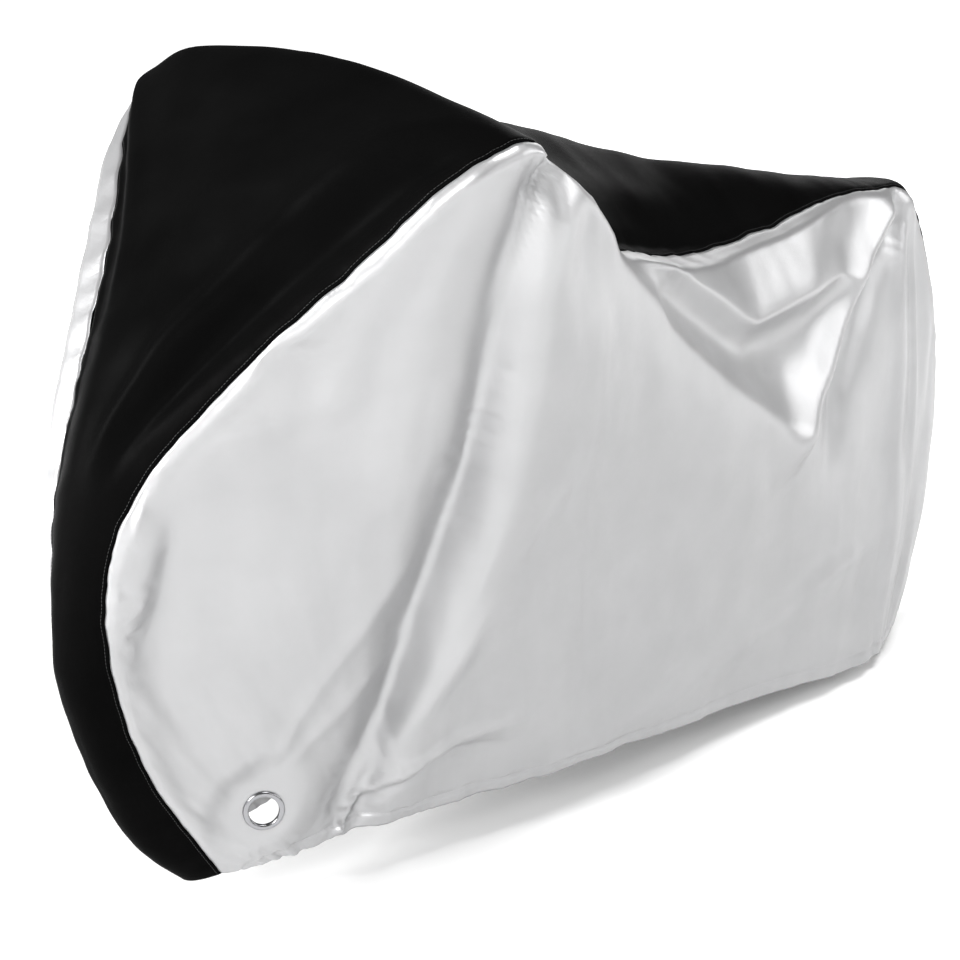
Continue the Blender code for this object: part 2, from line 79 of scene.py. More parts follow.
# The centre panel's sections. near and far are the panel's half widths, and near_arch and
# far_arch are how squarely it bends down to its seams. turn is how far the seams follow the
# turned handlebar.
CENTRE = [
    # the front hem, and round the front wheel
    Centre(-0.752, 0.072, -0.716, 0.080, 0.036, 0.034, 2.2, 2.2, 0.0),
    Centre(-0.815, 0.137, -0.766, 0.157, 0.049, 0.041, 2.3, 2.3, 0.0),
    Centre(-0.870, 0.245, -0.826, 0.262, 0.056, 0.043, 2.4, 2.4, 0.0),
    Centre(-0.900, 0.370, -0.863, 0.378, 0.060, 0.043, 2.4, 2.4, 0.0),
    Centre(-0.898, 0.485, -0.875, 0.482, 0.062, 0.043, 2.3, 2.3, 0.0),
    Centre(-0.880, 0.580, -0.865, 0.568, 0.073, 0.050, 2.2, 2.2, 0.0),
    # the front face, widening up to the handlebar
    Centre(-0.846, 0.670, -0.832, 0.645, 0.098, 0.067, 2.0, 2.0, 0.1),
    Centre(-0.798, 0.755, -0.785, 0.725, 0.150, 0.097, 2.0, 2.0, 0.2),
    Centre(-0.735, 0.845, -0.722, 0.810, 0.213, 0.146, 2.0, 2.0, 0.4),
    Centre(-0.668, 0.930, -0.652, 0.893, 0.283, 0.222, 2.0, 2.0, 0.6),
    Centre(-0.612, 1.003, -0.590, 0.966, 0.346, 0.317, 1.9, 2.4, 0.9),
    # over the handlebar's grips
    Centre(-0.568, 1.050, -0.536, 1.006, 0.384, 0.380, 1.7, 3.0, 1.0),
    Centre(-0.515, 1.077, -0.475, 1.014, 0.388, 0.386, 1.45, 3.6, 1.0),
    Centre(-0.430, 1.043, -0.420, 0.962, 0.355, 0.362, 1.35, 2.4, 0.9),
    # the sag between the handlebar and the saddle
    Centre(-0.330, 1.008, -0.325, 0.880, 0.283, 0.290, 1.35, 1.7, 0.6),
    Centre(-0.170, 0.963, -0.175, 0.826, 0.208, 0.214, 1.4, 1.4, 0.2),
    Centre(0.020, 0.914, 0.020, 0.788, 0.146, 0.150, 1.4, 1.4, 0.0),
    Centre(0.220, 0.873, 0.220, 0.788, 0.108, 0.112, 1.5, 1.5, 0.0),
    Centre(0.430, 0.838, 0.430, 0.806, 0.078, 0.080, 1.6, 1.6, 0.0),
    Centre(0.600, 0.809, 0.600, 0.800, 0.056, 0.056, 1.8, 1.8, 0.0),
    # over the saddle and down behind the rear wheel
    Centre(0.700, 0.797, 0.688, 0.785, 0.045, 0.045, 2.0, 2.0, 0.0),
    Centre(0.764, 0.735, 0.742, 0.715, 0.045, 0.045, 2.1, 2.1, 0.0),
    Centre(0.810, 0.610, 0.783, 0.600, 0.050, 0.050, 2.2, 2.2, 0.0),
    Centre(0.831, 0.460, 0.801, 0.455, 0.055, 0.055, 2.2, 2.2, 0.0),
    Centre(0.826, 0.320, 0.796, 0.318, 0.058, 0.058, 2.2, 2.2, 0.0),
    Centre(0.800, 0.170, 0.771, 0.175, 0.056, 0.056, 2.2, 2.2, 0.0),
    Centre(0.766, 0.040, 0.741, 0.048, 0.050, 0.050, 2.2, 2.2, 0.0),
]

Side = namedtuple("Side", "hem_x hem_z near_hem far_hem belly near_puff far_puff")
# The side panels' sections, one for each of the centre panel's, whose seam they hang from.
# near_hem and far_hem are the hem's distances from the centre line. belly is how far the panels
# bow out half way down, and near_puff and far_puff how far they puff out beside the seam.
SIDE = [
    # the front hem, and round the front wheel
    Side(-0.670, 0.076, 0.046, 0.046, 0.000, 0.000, 0.000),
    Side(-0.655, 0.078, 0.050, 0.050, 0.004, 0.004, 0.006),
    Side(-0.634, 0.079, 0.055, 0.055, 0.008, 0.006, 0.014),
    Side(-0.608, 0.081, 0.061, 0.062, 0.011, 0.008, 0.036),
    Side(-0.578, 0.083, 0.069, 0.071, 0.014, 0.010, 0.046),
    Side(-0.545, 0.086, 0.078, 0.081, 0.016, 0.010, 0.054),
    # the front face, widening up to the handlebar
    Side(-0.512, 0.091, 0.087, 0.091, 0.014, 0.012, 0.066),
    Side(-0.478, 0.094, 0.096, 0.101, 0.008, 0.013, 0.077),
    Side(-0.440, 0.094, 0.105, 0.108, 0.002, 0.013, 0.092),
    Side(-0.400, 0.093, 0.113, 0.115, 0.000, 0.012, 0.088),
    Side(-0.360, 0.091, 0.120, 0.121, 0.000, 0.008, 0.060),
    # over the handlebar's grips
    Side(-0.322, 0.090, 0.125, 0.126, 0.002, 0.002, 0.020),
    Side(-0.284, 0.090, 0.129, 0.130, 0.004, 0.000, 0.000),
    Side(-0.235, 0.089, 0.134, 0.135, 0.008, 0.000, 0.004),
    # the sag between the handlebar and the saddle
    Side(-0.165, 0.088, 0.140, 0.141, 0.016, 0.004, 0.008),
    Side(-0.055, 0.084, 0.149, 0.148, 0.028, 0.006, 0.008),
    Side(0.080, 0.074, 0.152, 0.151, 0.038, 0.006, 0.008),
    Side(0.220, 0.060, 0.152, 0.150, 0.036, 0.006, 0.008),
    Side(0.350, 0.045, 0.151, 0.147, 0.025, 0.006, 0.006),
    Side(0.450, 0.034, 0.151, 0.142, 0.012, 0.004, 0.004),
    # over the saddle and down behind the rear wheel
    Side(0.510, 0.030, 0.148, 0.136, 0.005, 0.002, 0.002),
    Side(0.550, 0.030, 0.139, 0.129, 0.004, 0.004, 0.004),
    Side(0.585, 0.030, 0.129, 0.121, 0.006, 0.008, 0.008),
    Side(0.616, 0.031, 0.118, 0.112, 0.010, 0.008, 0.010),
    Side(0.646, 0.032, 0.105, 0.101, 0.010, 0.006, 0.008),
    Side(0.676, 0.033, 0.090, 0.088, 0.006, 0.004, 0.004),
    Side(0.706, 0.036, 0.070, 0.070, 0.000, 0.000, 0.000),
]
Section = namedtuple("Section", Centre._fields + Side._fields)
SECTIONS = [Section(*centre, *side) for centre, side in zip(CENTRE, SIDE)]
LAST_ROW = len(SECTIONS) - 1
TABLE = np.array(SECTIONS)

Band = namedtuple("Band", "end count")
# The panels' grids: rows up to which section, and how many for each section, and columns up to
# which share of the way from the seam to the hem, or from the seam to the ridge, and how many.
ROW_BANDS = [Band(13, 13), Band(19, 16), Band(26, 7)]
SIDE_BANDS = [Band(SEAM_SHARE, 4), Band(0.11, 10), Band(0.965, 124), Band(1.0, 8)]
CENTRE_BANDS = [Band(SEAM_SHARE, 4), Band(0.20, 12), Band(1.0, 36)]

# The cloth's thickness, the hem's depth, and how deep and wide the stitches draw the cloth in.
CLOTH = 1.0 * MM
HEM = 22.0 * MM
TUCK, TUCK_WIDTH = 1.6 * MM, 3.0 * MM

Fold = namedtuple("Fold", "side path front back fan height crisp start end")
# A fold in a side panel, along a path of places (x, z), drawn with x to the right and z up. It
# stands out by height, or is sunk where that is negative. Going along the path, it fades over
# back on the left and over front on the right, both fan times as wide at its end. crisp is how
# far its crest is creased rather than round, and start and end are the shares of its length over
# which it fades there.
FOLDS = [
    # hanging from the near grip
    Fold(NEAR, ((-0.512, 0.990), (-0.523, 0.867), (-0.511, 0.727), (-0.503, 0.590), (-0.508, 0.428),
                (-0.513, 0.288), (-0.532, 0.090)),
         0.029, 0.016, 1.6, -0.036, 0.45, 0.06, 0.10),
    Fold(NEAR, ((-0.500, 0.965), (-0.509, 0.867), (-0.490, 0.727), (-0.464, 0.590), (-0.462, 0.428),
                (-0.488, 0.288), (-0.520, 0.095)),
         0.019, 0.050, 1.3, 0.022, 0.30, 0.08, 0.14),
    Fold(NEAR, ((-0.521, 1.012), (-0.524, 0.968), (-0.528, 0.925), (-0.530, 0.840)),
         0.007, 0.016, 1.6, 0.008, 0.5, 0.10, 0.90),
    Fold(NEAR, ((-0.460, 0.935), (-0.330, 0.835), (-0.107, 0.680), (0.016, 0.600), (0.194, 0.497)),
         0.260, 0.060, 1.1, 0.064, 0.7, 0.70, 0.60),
    Fold(NEAR, ((-0.475, 1.000), (-0.430, 0.950), (-0.380, 0.895)),
         0.040, 0.030, 1.0, 0.017, 0.4, 0.10, 0.80),
    Fold(NEAR, ((-0.498, 0.995), (-0.470, 0.935), (-0.435, 0.850)),
         0.024, 0.022, 1.5, -0.011, 0.0, 0.20, 0.90),
    Fold(NEAR, ((-0.590, 0.960), (-0.606, 0.800), (-0.596, 0.600)),
         0.014, 0.020, 1.5, 0.006, 0.2, 0.25, 0.60),
    Fold(NEAR, ((-0.640, 0.900), (-0.665, 0.740), (-0.655, 0.560)),
         0.016, 0.024, 1.5, 0.005, 0.1, 0.30, 0.60),
    # between the long fold from the near grip and the saddle
    Fold(NEAR, ((-0.250, 0.850), (-0.130, 0.795), (-0.020, 0.740), (0.062, 0.696), (0.100, 0.682),
                (0.138, 0.683), (0.240, 0.690), (0.400, 0.700)),
         0.030, 0.130, 1.1, 0.050, 0.7, 0.16, 0.40),
    Fold(NEAR, ((0.610, 0.775), (0.571, 0.749), (0.467, 0.681), (0.402, 0.624), (0.335, 0.557),
                (0.271, 0.507), (0.200, 0.455)),
         0.046, 0.030, 1.1, 0.034, 0.6, 0.15, 0.25),
    Fold(NEAR, ((0.650, 0.765), (0.560, 0.690), (0.500, 0.610), (0.430, 0.520), (0.390, 0.430)),
         0.028, 0.032, 1.2, -0.014, 0.0, 0.20, 0.40),
    Fold(NEAR, ((0.676, 0.780), (0.650, 0.650), (0.640, 0.500), (0.625, 0.350), (0.610, 0.200)),
         0.022, 0.028, 1.3, 0.014, 0.4, 0.08, 0.50),
    Fold(NEAR, ((0.696, 0.780), (0.703, 0.574), (0.680, 0.335)),
         0.008, 0.014, 1.0, 0.006, 0.6, 0.20, 0.30),
    # along and behind the front seam
    Fold(NEAR, ((-0.826, 0.600), (-0.842, 0.470)), 0.024, 0.024, 1.0, 0.017, 0.0, 0.60, 0.50),
    Fold(NEAR, ((-0.813, 0.590), (-0.811, 0.503), (-0.812, 0.432), (-0.805, 0.360), (-0.781, 0.310),
                (-0.752, 0.240)),
         0.040, 0.028, 1.0, -0.017, 0.1, 0.35, 0.50),
    Fold(NEAR, ((-0.780, 0.800), (-0.650, 0.775)), 0.026, 0.022, 1.0, -0.009, 0.0, 0.40, 0.60),
    Fold(NEAR, ((-0.780, 0.690), (-0.640, 0.735)), 0.026, 0.026, 1.0, 0.007, 0.2, 0.40, 0.60),
    Fold(NEAR, ((-0.820, 0.640), (-0.790, 0.690), (-0.740, 0.735)),
         0.014, 0.016, 1.0, -0.004, 0.0, 0.50, 0.60),
    # low down on the near side
    Fold(NEAR, ((-0.440, 0.430), (-0.475, 0.307), (-0.525, 0.200), (-0.556, 0.090)),
         0.014, 0.024, 0.7, 0.010, 0.5, 0.40, 0.06),
    Fold(NEAR, ((-0.320, 0.215), (-0.440, 0.206), (-0.510, 0.164), (-0.556, 0.090)),
         0.012, 0.022, 0.7, 0.010, 0.6, 0.40, 0.06),
    Fold(NEAR, ((-0.330, 0.175), (-0.460, 0.183), (-0.520, 0.139), (-0.556, 0.085)),
         0.009, 0.012, 0.7, -0.007, 0.3, 0.40, 0.06),
    Fold(NEAR, ((-0.530, 0.500), (-0.575, 0.400), (-0.620, 0.320), (-0.652, 0.250)),
         0.018, 0.018, 0.7, 0.004, 0.3, 0.50, 0.20),
    Fold(NEAR, ((-0.470, 0.420), (-0.560, 0.310), (-0.640, 0.225)),
         0.016, 0.016, 0.7, 0.003, 0.3, 0.50, 0.20),
    Fold(NEAR, ((-0.375, 0.620), (-0.405, 0.545), (-0.425, 0.490)),
         0.010, 0.014, 1.0, 0.003, 0.6, 0.40, 0.50),
    Fold(NEAR, ((0.520, 0.230), (0.180, 0.190), (-0.200, 0.120)),
         0.028, 0.040, 1.0, 0.012, 0.3, 0.40, 0.40),
    # the far side, which hangs much like the near one
    Fold(FAR, ((-0.470, 0.985), (-0.500, 0.700), (-0.540, 0.095)),
         0.022, 0.020, 1.5, -0.020, 0.3, 0.04, 0.12),
    Fold(FAR, ((-0.430, 0.985), (-0.455, 0.600), (-0.490, 0.095)),
         0.024, 0.070, 1.4, 0.020, 0.3, 0.05, 0.14),
    Fold(FAR, ((-0.400, 0.960), (-0.100, 0.700), (0.200, 0.430)),
         0.270, 0.055, 1.1, 0.058, 0.6, 0.20, 0.70),
    Fold(FAR, ((-0.560, 0.880), (-0.660, 0.720), (-0.740, 0.540)),
         0.040, 0.040, 1.2, -0.014, 0.0, 0.20, 0.30),
    Fold(FAR, ((-0.180, 0.815), (0.010, 0.740), (0.130, 0.665), (0.260, 0.650), (0.420, 0.670)),
         0.022, 0.085, 1.1, 0.018, 0.5, 0.25, 0.35),
    Fold(FAR, ((0.610, 0.770), (0.450, 0.600), (0.260, 0.400)),
         0.034, 0.036, 1.1, 0.020, 0.4, 0.15, 0.35),
    Fold(FAR, ((0.560, 0.600), (0.420, 0.300)), 0.040, 0.040, 1.0, -0.014, 0.0, 0.30, 0.40),
    Fold(FAR, ((0.680, 0.760), (0.652, 0.450), (0.640, 0.150)),
         0.024, 0.030, 1.2, 0.012, 0.3, 0.08, 0.50),
    Fold(FAR, ((-0.828, 0.560), (-0.815, 0.420), (-0.760, 0.260)),
         0.018, 0.016, 1.0, -0.010, 0.2, 0.15, 0.40),
    Fold(FAR, ((0.350, 0.280), (0.030, 0.210), (-0.300, 0.110)),
         0.030, 0.040, 1.0, 0.012, 0.3, 0.40, 0.30),
    Fold(FAR, ((-0.360, 0.290), (-0.460, 0.200), (-0.540, 0.090)),
         0.014, 0.020, 0.8, 0.010, 0.4, 0.45, 0.05),
]

Crease = namedtuple("Crease", "row0 across0 row1 across1 width height")
# A crease in the centre panel. Rows count the sections, and across runs from -1 at the near seam
# through 0 on the ridge to 1 at the far seam.
CREASES = [
    Crease(11.0, -0.90, 6.5, -0.66, 0.12, -0.015),
    Crease(11.0, -0.74, 6.5, -0.36, 0.13, 0.014),
    Crease(11.3, 0.92, 8.0, 0.70, 0.12, 0.009),
    Crease(10.8, 0.30, 7.5, 0.20, 0.22, -0.008),
    Crease(13.0, -0.66, 16.0, -0.62, 0.25, 0.010),
    Crease(14.0, 0.55, 17.0, 0.60, 0.25, 0.010),
]
# The creases fade this near to the seams, and over these shares of their length at each end.
CREASE_HOLD, CREASE_START, CREASE_END = 0.15, 0.3, 0.5

# A creased crest's radius, as a share of its fold's width, and how steeply it falls.
CREST_RADIUS, CREST_POWER = 0.25, 1.4

Ripple = namedtuple("Ripple", "along across height reach seed")
# Noise in a panel's cloth: the size of its hills along the seam and across it, their height, and
# how far they reach from the seam or the hem that they start at (0 where they cover the panel).
EVERYWHERE = [
    Ripple(0.240, 0.300, 0.0055, 0, 1),
    Ripple(0.090, 0.150, 0.0030, 0, 2),
    Ripple(0.035, 0.060, 0.0006, 0, 3),
]
SEAM_RIPPLES = [Ripple(0.034, 0.120, 0.0024, 0.045, 4), Ripple(0.016, 0.060, 0.0010, 0.020, 5)]
HEM_RIPPLES = [Ripple(0.060, 0.140, 0.0022, 0.060, 6), Ripple(0.024, 0.050, 0.0007, 0.022, 7)]

Crumple = namedtuple("Crumple", "x z along across height slant")
# A patch of small crumpled creases in the near panel: its middle, its reach along and across the
# direction that slants so many degrees from upright, and its height.
CRUMPLES = [
    Crumple(-0.502, 0.700, 0.120, 0.024, 0.0020, 8),
    Crumple(-0.485, 0.560, 0.060, 0.024, 0.0014, 12),
    Crumple(-0.545, 0.120, 0.060, 0.050, 0.0020, -12),
    Crumple(-0.520, 0.970, 0.050, 0.045, 0.0018, 10),
    Crumple(-0.130, 0.790, 0.030, 0.090, 0.0018, 60),
    Crumple(0.620, 0.745, 0.040, 0.060, 0.0018, 40),
    Crumple(-0.690, 0.110, 0.030, 0.060, 0.0022, 50),
    Crumple(-0.850, 0.500, 0.120, 0.030, 0.0020, 0),
]
# How far apart the creases lie in a patch, along and across it, and their noise's seed.
CRUMPLE_ALONG, CRUMPLE_ACROSS, CRUMPLE_SEED = 0.019, 0.036, 11

# After how many units the noise repeats, and what brings its hills to about 1.
NOISE_UNITS, NOISE_GAIN = 64, 1.6
# The far side's noise is taken this many metres further along, so that it isn't the near side's.
FAR_SHIFT = 40.0
# How far from a seam the cloth's broad ripples reach their full height.
RIPPLE_START = 0.08

# The eyelet: the cloth's hole, how near its edge points are drawn onto it, and the metal ring's
# inner and outer radius and how far it stands out.
HOLE_RADIUS, HOLE_DRAW = 23.0 * MM, 4.5 * MM
RING_HOLE, RING_RIM, RING_HEIGHT = 19.0 * MM, 26.5 * MM, 2.65 * MM
# The points over each of the ring's domes and round it, and the power that fills the dome out.
RING_DOME, RING_STEPS, RING_FILL = 9, 96, 0.8

# Stitches: their pitch, the gap between two, how far they lie outside the cloth's middle, and how
# far the centre panel's lie from its seams.
STITCH_PITCH, STITCH_GAP = 4.6 * MM, 1.2 * MM
THREAD_LIFT = 0.6 * MM
SEAM_STITCH = 5.0 * MM
# The thread: its sides and radius, how far along a stitch its rings of points lie and how thick it
# is there, and a direction that no stitch runs in.
THREAD_SIDES, THREAD_RADIUS = 6, 0.35 * MM
THREAD_RINGS = ((0.12, 0.8), (0.5, 1.0), (0.88, 0.8))
ASKEW = (0.3, 0.5, 0.8)

# The cloth's weave, drawn a little coarser than it is so that it shows, and its depth.
THREAD_PITCH, THREAD_DEPTH = 0.9 * MM, 0.15 * MM
# The puckers at a seam, so many in a metre along it and across it, and how far they reach.
PUCKERS_ALONG, PUCKERS_ACROSS, PUCKER_REACH = 150.0, 28.0, 26.0 * MM
# The crinkles' depth, and how far the roughness varies with them to each side.
CRINKLE_DEPTH, CRINKLE_ROUGHNESS = 2.0 * MM, 0.05

Look = namedtuple(
    "Look",
    "dark light roughness metallic specular sheen crinkle blotch weave_strength crinkle_strength "
    "pucker",
)
# A cloth's looks. crinkle and blotch are how many there are in a metre, and pucker is a depth.
SILVER = Look(
    dark=(0.35, 0.35, 0.355), light=(0.43, 0.43, 0.435), roughness=0.36, metallic=0.55,
    specular=0.45, sheen=0.0, crinkle=130.0, blotch=9.0, weave_strength=0.12,
    crinkle_strength=0.10, pucker=1.2 * MM,
)
BLACK = Look(
    dark=(0.0014, 0.0014, 0.0014), light=(0.0029, 0.0029, 0.0029), roughness=0.36, metallic=0.0,
    specular=0.003, sheen=0.001, crinkle=130.0, blotch=9.0, weave_strength=0.15,
    crinkle_strength=0.10, pucker=1.0 * MM,
)
# The threads' colours, and the eyelets' colour and their least and greatest roughness.
GREY_THREAD, BLACK_THREAD = (0.45, 0.45, 0.46), (0.02, 0.02, 0.02)
NICKEL, NICKEL_ROUGHNESS = (0.30, 0.30, 0.31), (0.12, 0.30)

# The room: a white floor that fills the picture, softboxes round the cover, and a pale sky.
FLOOR_HEIGHT, FLOOR_REACH = -1.073, 40.0
FLOOR_COLOUR = (0.90, 0.90, 0.90)
# The floor glows from this much near the cover to this much far off, between these two distances.
FLOOR_GLOWS, FLOOR_REACHES = (0.10, 1.00), (1.4, 4.5)
WORLD_COLOUR, WORLD_STRENGTH = (1.0, 1.0, 1.0), 0.12
LIGHT_AIM = (0.25, 0.0, -0.50)
Light = namedtuple("Light", "name x y z width height power")
LIGHTS = [
    Light("key", -6.80, -2.80, 2.20, 2.2, 2.6, 440.0),
    Light("far_key", -4.50, 4.00, 1.50, 2.0, 2.5, 700.0),
    Light("top", 0.40, -2.20, 5.00, 2.4, 1.8, 250.0),
    Light("back", 5.60, -4.00, 2.30, 4.6, 3.4, 212.0),
    Light("fill", 0.60, -5.80, 1.60, 2.5, 2.0, 40.0),
    Light("rim", 3.00, 1.60, 0.90, 1.2, 2.0, 20.0),
]

# The camera, found from the cover's outline in the photograph: its place, how many degrees it is
# turned from the y axis and looks down, its focal length and middle in the photograph's pixels,
# its sensor's width in millimetres, and the photograph's width in pixels.
CAMERA = (-1.426, -1.768, 0.211)
CAMERA_YAW, CAMERA_PITCH = 43.871, 18.923
FOCAL_PIXELS, CENTRE_U, CENTRE_V = 1870.57, 481.75, 507.66
SENSOR, FRAME = 36.0, 960.0


def smooth(t):
    """0 before 0, 1 after 1, and an S curve between."""
    t = np.clip(t, 0.0, 1.0)
    return t * t * (3 - 2 * t)


def vectors(x, y, z):
    """Arrays of coordinates as one array of points."""
    return np.stack(np.broadcast_arrays(x, y, z), axis=-1)


def length(v):
    return np.linalg.norm(v, axis=-1)


def unit(v):
    return v / length(v)[..., None]


def noise(u, v, seed):
    """Smooth hills and hollows from about -1 to 1, about one unit apart."""
    turns = np.random.default_rng(seed).uniform(0, 2 * math.pi, (NOISE_UNITS, NOISE_UNITS))
    u, v = np.broadcast_arrays(u, v)
    column, row = np.floor(u).astype(int), np.floor(v).astype(int)
    total = np.zeros(u.shape)
    for across in (0, 1):
        for up in (0, 1):
            turn = turns[(column + across) % NOISE_UNITS, (row + up) % NOISE_UNITS]
            x, y = u - column - across, v - row - up
            weight = smooth(1 - np.abs(x)) * smooth(1 - np.abs(y))
            total += weight * (x * np.cos(turn) + y * np.sin(turn))
    return NOISE_GAIN * total


def section(row):
    """The sections at an array of rows, on a Catmull-Rom curve through the table."""
    row = np.asarray(row, float)
    low = np.minimum(row.astype(int), LAST_ROW - 1)
    t = (row - low)[..., None]
    a, b, c, d = (TABLE[np.clip(low + k, 0, LAST_ROW)] for k in (-1, 0, 1, 2))
    bend = (2 * a - 5 * b + 4 * c - d) * t + (3 * b - a - 3 * c + d) * t * t
    return Section(*np.moveaxis(b + 0.5 * t * (c - a + bend), -1, 0))


def corner(cut, side):
    """Where the centre panel and a side panel would meet if the seam were sharp."""
    y = side * (cut.near if side == NEAR else cut.far)
    return vectors(cut.seam_x + cut.turn * BAR_TURN * y, y, cut.seam_z)


def centre_section(cut, side, share):
    """The centre panel's section: share 0 is on the ridge, and 1 at the sharp seam."""
    ridge = vectors(cut.ridge_x, 0.0, cut.ridge_z)
    arch = cut.near_arch if side == NEAR else cut.far_arch
    sharp = corner(cut, side)
    point = ridge + (sharp - ridge) * (share**arch)[..., None]
    point[..., 1] = sharp[..., 1] * share
    return point


def curve_through(t, places, values):
    """A smooth curve through values at rising places, with Hermite's cubic between two."""
    slopes = np.gradient(values, places)
    low = np.clip(np.searchsorted(places, t) - 1, 0, len(places) - 2)
    gap = places[low + 1] - places[low]
    s = (t - places[low]) / gap
    start = values[low] * (1 + 2 * s) * (1 - s) ** 2 + slopes[low] * gap * s * (1 - s) ** 2
    end = values[low + 1] * s * s * (3 - 2 * s) - slopes[low + 1] * gap * s * s * (1 - s)
    return start + end


def fade_in(along, reach):
    """A fade from 0 to 1 over reach, half way up where along is 0."""
    return smooth(along / reach + 0.5)


def fold_height(side, x, z):
    """How far the folds make a side panel stand out at places seen from the side."""
    height = np.zeros(np.shape(x))
    for fold in FOLDS:
        if fold.side != side:
            continue
        (x0, z0), (x1, z1) = fold.path[0], fold.path[-1]
        dx, dz = x1 - x0, z1 - z0
        run = math.hypot(dx, dz)
        along = ((x - x0) * dx + (z - z0) * dz) / run**2
        off = ((z - z0) * dx - (x - x0) * dz) / run
        inside = np.clip(along, 0, 1)
        path = np.array(fold.path)
        places = ((path[:, 0] - x0) * dx + (path[:, 1] - z0) * dz) / run**2
        bends = ((path[:, 1] - z0) * dx - (path[:, 0] - x0) * dz) / run
        off = off - curve_through(inside, places, bends)
        off = off / (np.where(off > 0, fold.back, fold.front) * (1 + (fold.fan - 1) * inside))
        crest = np.exp(CREST_RADIUS - np.sqrt(off**2 + CREST_RADIUS**2))
        shape = np.exp(-(off**2)) * (1 - fold.crisp) + crest**CREST_POWER * fold.crisp
        fade = fade_in(along, fold.start) * fade_in(1 - along, fold.end)
        height += fold.height * fade * shape
    return height


def side_line(row, side, drop):
    """The straight line of a side panel's section: drop 0 is at the sharp seam, 1 at the hem."""
    cut = section(row)
    hem = vectors(cut.hem_x, side * (cut.near_hem if side == NEAR else cut.far_hem), cut.hem_z)
    start = corner(cut, side)
    return start + (hem - start) * np.asarray(drop)[..., None]


def side_section(row, side, drop):
    """A side panel's section, which bows, puffs and folds out of its straight line."""
    cut = section(row)
    point = side_line(row, side, drop)
    down = side_line(row, side, 1.0) - side_line(row, side, 0.0)
    ahead = np.maximum(row - OUTWARD_ROWS, 0)
    behind = np.minimum(row + OUTWARD_ROWS, LAST_ROW)
    along = side_line(behind, side, drop) - side_line(ahead, side, drop)
    outward = side * unit(np.cross(along, down))
    away = drop * length(down)
    bow = cut.belly * 4 * drop * (1 - drop)
    puff = PUFF_SHARE * (cut.near_puff if side == NEAR else cut.far_puff)
    puff = puff * (1 - np.exp(-((away / PUFF_RISE) ** 2))) * np.exp(-away / PUFF_REACH)
    fold = smooth(away / FOLD_START) * fold_height(side, point[..., 0], point[..., 2])
    return point + outward * (bow + puff + fold)[..., None]


def seam_share(cut, side):
    """The share of the centre panel's section that the rounding at its seam takes."""
    sharp = corner(cut, side)
    arch = cut.near_arch if side == NEAR else cut.far_arch
    bend = arch * np.hypot(sharp[..., 0] - cut.ridge_x, sharp[..., 2] - cut.ridge_z)
    return SEAM_RADIUS / np.hypot(sharp[..., 1], bend)


def rounded(row, side, t):
    """The rounding at a seam: t 0 lies in the centre panel, 1 in the side panel."""
    cut = section(row)
    inner = centre_section(cut, side, 1 - seam_share(cut, side))
    outer = side_section(row, side, seam_drop(row, side))
    t = np.asarray(t)[..., None]
    return inner * (1 - t) ** 2 + corner(cut, side) * 2 * t * (1 - t) + outer * t**2


def seam_drop(row, side):
    """The share of the side panel's section that the rounding at its seam takes."""
    return SEAM_RADIUS / length(side_line(row, side, 1.0) - side_line(row, side, 0.0))


def seam_middle(row, side):
    """How far round its bend the seam lies, which wanders a little, as a hand guides it."""
    return 0.5 + SEAM_WANDER * noise(row * WANDER_ROWS, WANDER_LINE + side, WANDER_SEED)


def half_centre(row, side, share):
    """The centre panel from its ridge, at share 0, to a seam, at 1."""
    middle = 1 - SEAM_SHARE
    cut = section(row)
    flat = centre_section(cut, side, share / middle * (1 - seam_share(cut, side)))
    bent = rounded(row, side, seam_middle(row, side) * (share - middle) / SEAM_SHARE)
    return np.where((share > middle)[..., None], bent, flat)


def crease_height(row, across):
    """How far the creases make the centre panel stand out."""
    height = 0.0
    for crease in CREASES:
        along = (row - crease.row0) / (crease.row1 - crease.row0)
        line = crease.across0 + (crease.across1 - crease.across0) * along
        fade = fade_in(along, CREASE_START) * fade_in(1 - along, CREASE_END)
        height = height + crease.height * fade * np.exp(-(((across - line) / crease.width) ** 2))
    return height * smooth((1 - np.abs(across)) / CREASE_HOLD)


def side_plain(row, side, down):
    """A side panel before its ripples and eyelet, from down 0 at the seam to 1 at the hem."""
    start = seam_drop(row, side)
    drop = start + (1 - start) * (down - SEAM_SHARE) / (1 - SEAM_SHARE)
    seam = seam_middle(row, side)
    bent = rounded(row, side, seam + (1 - seam) * down / SEAM_SHARE)
    hanging = side_section(row, side, np.maximum(drop, start))
    return np.where((down < SEAM_SHARE)[..., None], bent, hanging)


def eyelet_place(side):
    """An eyelet's centre and the way it faces."""
    x, y, z = EYELET_FACING
    return np.array(EYELETS[side]), unit(np.array([x, side * y, z]))


def banded(start, bands):
    """Values from start to the last band's end, so many in each band."""
    values = [np.array([start])]
    for band in bands:
        values.append(np.linspace(start, band.end, band.count + 1)[1:])
        start = band.end
    return np.concatenate(values)


def grid_rows():
    """The grids' rows, each as its place in SECTIONS."""
    bands, start = [], 0
    for band in ROW_BANDS:
        bands.append(Band(band.end, band.count * (band.end - start)))
        start = band.end
    return banded(0.0, bands)


def run_along(points, axis):
    """The distance along a grid's lines from where they start."""
    steps = length(np.diff(points, axis=axis))
    first = np.zeros_like(np.take(steps, [0], axis=axis))
    return np.cumsum(np.concatenate([first, steps], axis=axis), axis=axis)


def normals(points):
    """The way a grid faces at each of its points."""
    return unit(np.cross(np.gradient(points, axis=0), np.gradient(points, axis=1)))


